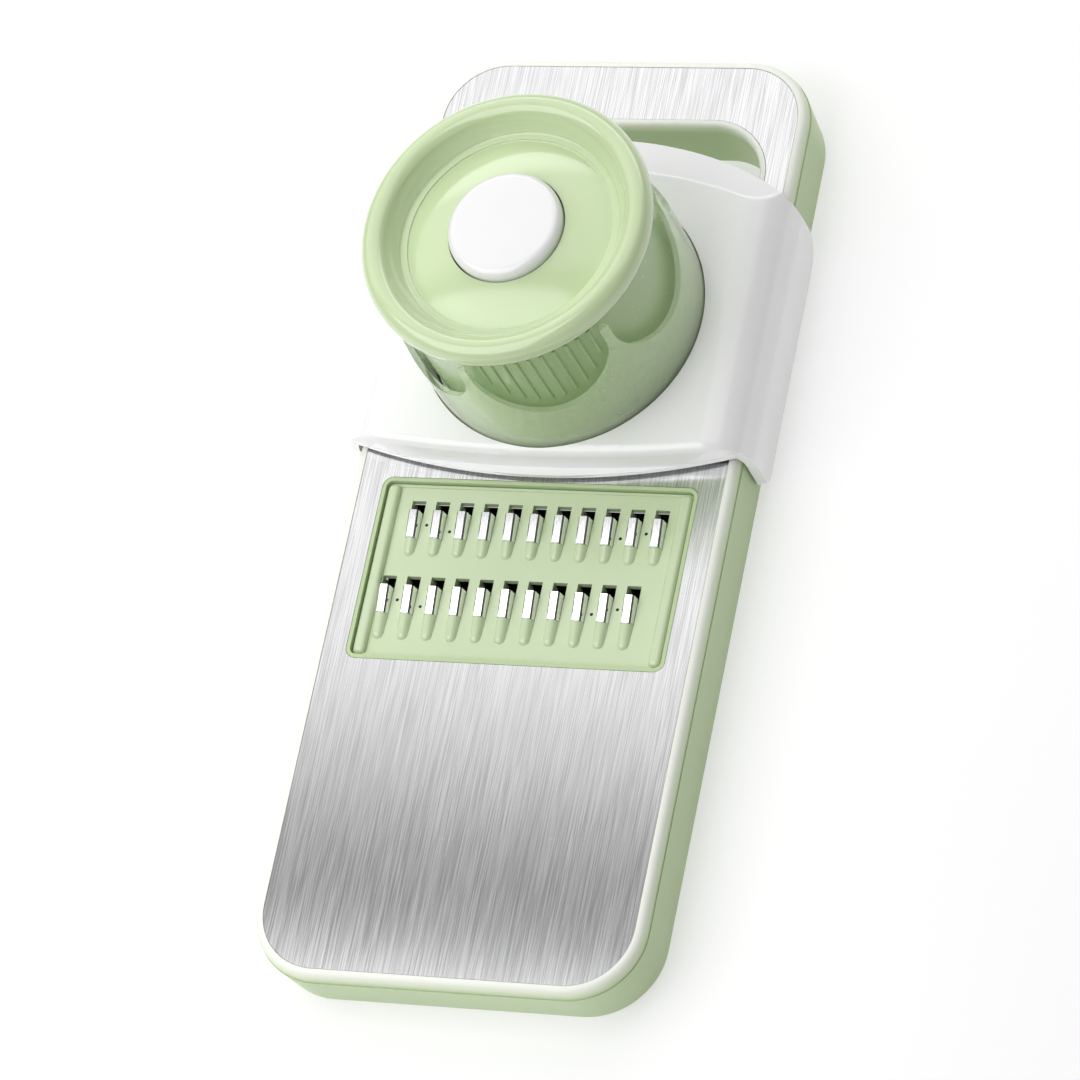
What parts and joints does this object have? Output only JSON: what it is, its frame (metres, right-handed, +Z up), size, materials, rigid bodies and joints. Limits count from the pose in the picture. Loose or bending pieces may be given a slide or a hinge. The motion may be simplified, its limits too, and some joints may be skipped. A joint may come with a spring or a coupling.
{
  "type": "mandoline slicer",
  "caption": "Handheld mandoline board with a steel deck, drop-out julienne blade tray, end handle slot, and a sliding food guard with a push-down knob.",
  "frame": {"origin": "middle of the footprint, on the surface the feet stand on", "axes": "+Z up out of the steel deck, +Y along the board towards the handle slot, +X across the board"},
  "size_m": [0.1228, 0.2938, 0.0861],
  "materials": {
    "board_green": "glossy sage-green moulding with pale rounded rims",
    "panel_steel": "stainless sheet brushed along its length",
    "cover_green": "fine-textured sage-green moulding",
    "screw_steel": "plated screw",
    "foot_rubber": "soft grey rubber",
    "tray_green": "satin light-green moulding",
    "blade_steel": "polished stainless strip",
    "clamp_green": "plain light-green moulding",
    "pin_steel": "dark steel pin",
    "guard_white": "high-gloss white moulding",
    "runner_white": "low-friction strip",
    "sleeve_frosted": "frosted clear moulding, glossy outside",
    "ring_white": "plain white moulding",
    "barrel_green": "glossy sage-green moulding, ribbed grip",
    "knob_green": "glossy mint-green moulding",
    "plate_green": "plain green moulding",
    "spike_steel": "polished stainless pin",
    "button_white": "glossy white moulding",
    "stem_white": "plain white moulding",
    "ejector_white": "plain white moulding",
    "spring_steel": "spring wire"
  },
  "bodies": {
    "board": {"board_frame": "board_green", "steel_panel": "panel_steel", "lower_cover": "cover_green", "upper_cover": "cover_green", "cover_screws": "screw_steel", "foot_pads": "foot_rubber"},
    "cartridge": {"blade_tray": "tray_green", "blade_row_upper": "blade_steel", "blade_row_lower": "blade_steel", "blade_clamp_upper": "clamp_green", "blade_clamp_lower": "clamp_green", "blade_pins": "pin_steel"},
    "guard": {"guard_saddle": "guard_white", "guard_runner_left": "runner_white", "guard_runner_right": "runner_white", "tower_sleeve": "sleeve_frosted", "sleeve_ring": "ring_white", "ring_screws": "screw_steel"},
    "pusher": {"pusher_barrel": "barrel_green", "knob_cap": "knob_green", "cap_screws": "screw_steel", "spike_plate": "plate_green", "food_spikes": "spike_steel", "plate_screws": "screw_steel"},
    "button": {"button_cap": "button_white", "button_stem": "stem_white", "ejector_plate": "ejector_white", "stem_screw": "screw_steel", "button_spring": "spring_steel"}
  },
  "joints": [
    {"name": "guard_slide", "type": "slide", "parent": "board", "child": "guard", "axis": [0, 1, 0], "range_m": [-0.14, 0.018]},
    {"name": "pusher_lift", "type": "slide", "parent": "guard", "child": "pusher", "axis": [0, 0, 1], "range_m": [0, 0.055]},
    {"name": "button_press", "type": "slide", "parent": "pusher", "child": "button", "axis": [0, 0, -1], "range_m": [0, 0.0035], "stiffness_N_per_m": 900, "springref_m": -0.0015, "deforming": ["button_spring"]},
    {"name": "cartridge_drop", "type": "slide", "parent": "board", "child": "cartridge", "axis": [0, 0, -1], "range_m": [0, 0.025]}
  ]
}
